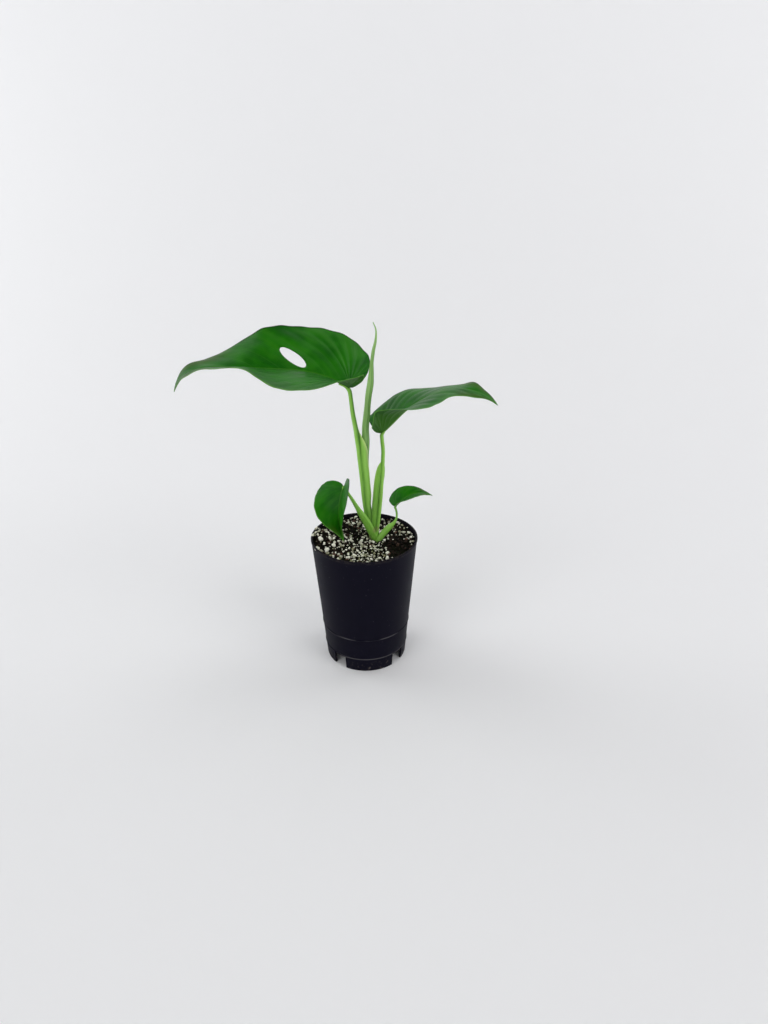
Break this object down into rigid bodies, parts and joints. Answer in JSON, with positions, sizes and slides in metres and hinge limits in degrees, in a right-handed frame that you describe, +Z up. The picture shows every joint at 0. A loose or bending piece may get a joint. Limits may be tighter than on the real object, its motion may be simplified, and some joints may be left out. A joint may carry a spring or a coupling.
{
  "type": "potted monstera plant",
  "caption": "Young potted monstera with pointed leaves on sheathed stalks, a hole through the largest, and a rolled new leaf, in a tapered nursery pot of bark and perlite mix.",
  "frame": {"origin": "bottom centre of the plant's and pot's common box, on the plane that the pot stands on; the pot's axis passes 19.6 mm along +X and 5.2 mm along +Y from it", "axes": "+Z up; -Y towards the viewer of the picture; the largest leaf reaches towards -X"},
  "size_m": [0.2356, 0.0934, 0.2793],
  "materials": {
    "pot": "satin",
    "potting_mix": "matte",
    "stem": "satin",
    "leaf": "satin",
    "new_leaf": "satin"
  },
  "bodies": {
    "root": {"pot": "pot", "potting_mix": "potting_mix", "stem": "stem", "leaf_1": "leaf", "leaf_2": "leaf", "leaf_3": "leaf", "leaf_4": "leaf", "new_leaf": "new_leaf"}
  },
  "joints": []
}
